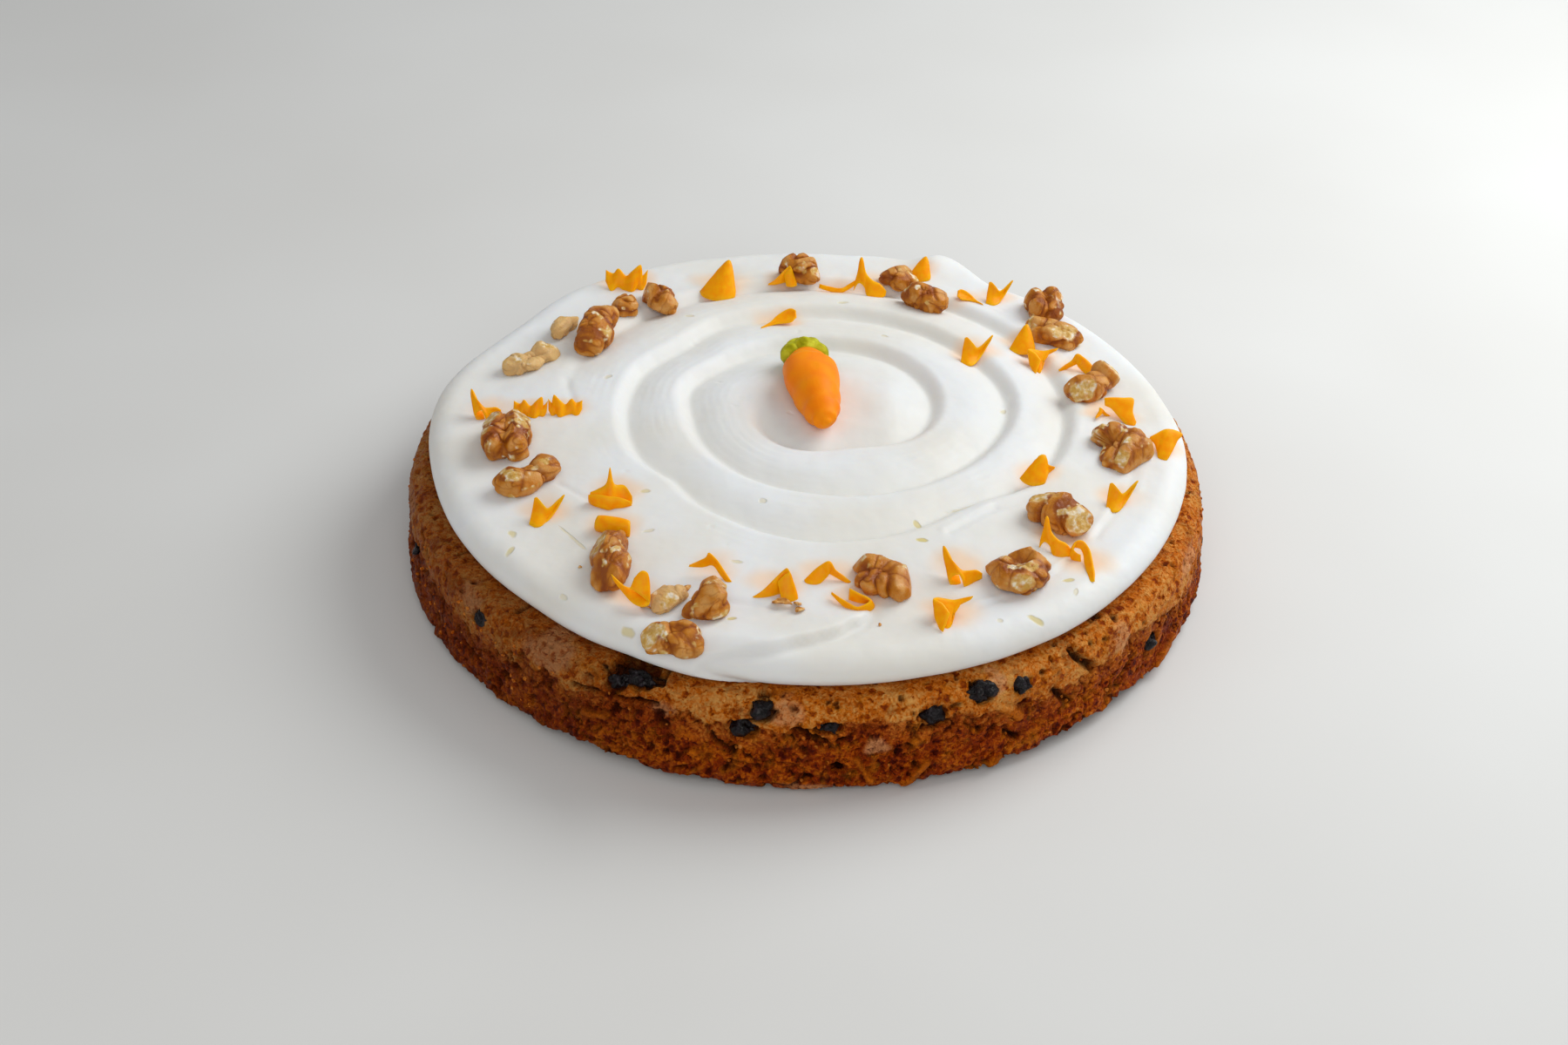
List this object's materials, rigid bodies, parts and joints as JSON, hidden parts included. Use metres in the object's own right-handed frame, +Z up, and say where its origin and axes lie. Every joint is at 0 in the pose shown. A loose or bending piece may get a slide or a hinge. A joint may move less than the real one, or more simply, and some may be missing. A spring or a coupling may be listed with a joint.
{
  "type": "carrot cake",
  "caption": "Round iced carrot cake, uncut: one baked layer with raisins, swirled cream cheese icing, a ring of walnuts and carrot curls, a marzipan carrot in the middle.",
  "frame": {"origin": "centre of the cake's round base, on the surface it stands on", "axes": "+Z up through the cake's axis, -Y towards the front that has most of the raisins, +X to the right seen from the front"},
  "size_m": [0.2539, 0.2535, 0.0574],
  "materials": {
    "crumb": "rough baked sponge, golden brown with a darker crust",
    "icing": "soft satin cream cheese icing",
    "marzipan_orange": "satin marzipan, orange",
    "marzipan_green": "satin marzipan, green",
    "walnut": "wrinkled brown skin with cream broken faces",
    "carrot_curl": "waxy satin orange shaving"
  },
  "bodies": {
    "root": {"sponge": "crumb", "icing": "icing", "carrot_body": "marzipan_orange", "carrot_top": "marzipan_green", "walnut_01": "walnut", "walnut_02": "walnut", "walnut_03": "walnut", "walnut_04": "walnut", "walnut_05": "walnut", "walnut_06": "walnut", "walnut_07": "walnut", "walnut_08": "walnut", "walnut_09": "walnut", "walnut_10": "walnut", "walnut_11": "walnut", "walnut_12": "walnut", "walnut_13": "walnut", "walnut_14": "walnut", "walnut_15": "walnut", "walnut_16": "walnut", "walnut_17": "walnut", "walnut_18": "walnut", "walnut_19": "walnut", "walnut_20": "walnut", "walnut_21": "walnut", "curl_01": "carrot_curl", "curl_02": "carrot_curl", "curl_03": "carrot_curl", "curl_04": "carrot_curl", "curl_05": "carrot_curl", "curl_06": "carrot_curl", "curl_07": "carrot_curl", "curl_08": "carrot_curl", "curl_09": "carrot_curl", "curl_10": "carrot_curl", "curl_11": "carrot_curl", "curl_12": "carrot_curl", "curl_13": "carrot_curl", "curl_14": "carrot_curl", "curl_15": "carrot_curl", "curl_16": "carrot_curl", "curl_17": "carrot_curl", "curl_18": "carrot_curl", "curl_19": "carrot_curl", "curl_20": "carrot_curl", "curl_21": "carrot_curl", "curl_22": "carrot_curl", "curl_23": "carrot_curl", "curl_24": "carrot_curl", "curl_25": "carrot_curl", "curl_26": "carrot_curl", "curl_27": "carrot_curl", "curl_28": "carrot_curl", "curl_29": "carrot_curl", "curl_30": "carrot_curl", "curl_31": "carrot_curl", "curl_32": "carrot_curl", "curl_33": "carrot_curl"}
  },
  "joints": []
}
